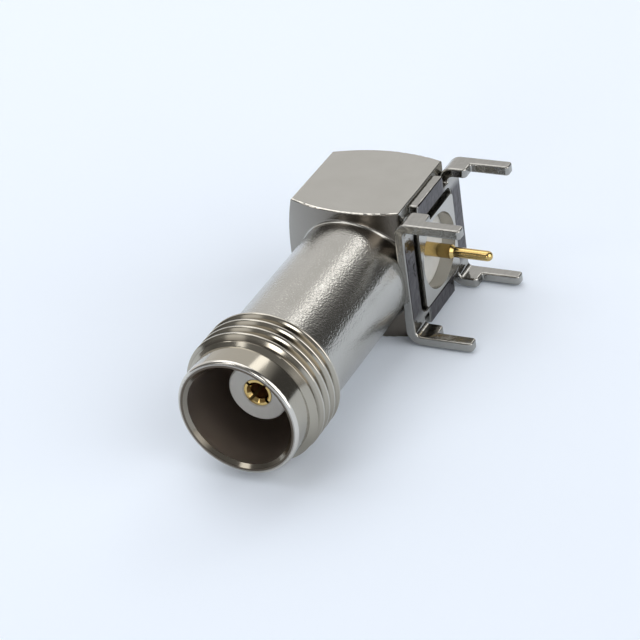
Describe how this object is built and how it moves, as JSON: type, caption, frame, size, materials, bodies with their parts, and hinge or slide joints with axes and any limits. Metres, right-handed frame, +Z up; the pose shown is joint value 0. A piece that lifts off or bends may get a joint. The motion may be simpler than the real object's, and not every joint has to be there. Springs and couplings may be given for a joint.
{
  "type": "tnc connector",
  "caption": "Right-angle threaded coaxial jack for a circuit board: a barrel on an elbow block, a stamped leg bracket, insulators, a spring socket and a centre pin.",
  "frame": {"origin": "the centre pin's axis at the face of the circuit board, where the legs' shoulders stop", "axes": "+X from the connector into the board along the centre pin, -Y out of the threaded mouth, +Z up as the connector lies on its side"},
  "size_m": [0.0159, 0.031, 0.0114],
  "materials": {
    "nickel_casting": "nickel plate over a cast and turned body, satin",
    "tinned_sheet": "bright plated stamped sheet",
    "white_ptfe": "turned, waxy white",
    "gold_plate": "gold plate over turned metal"
  },
  "bodies": {
    "root": {"body": "nickel_casting", "leg_bracket": "tinned_sheet", "front_insulator": "white_ptfe", "centre_contact": "gold_plate", "tail_insulator": "white_ptfe", "tail_pin": "gold_plate"}
  },
  "joints": []
}
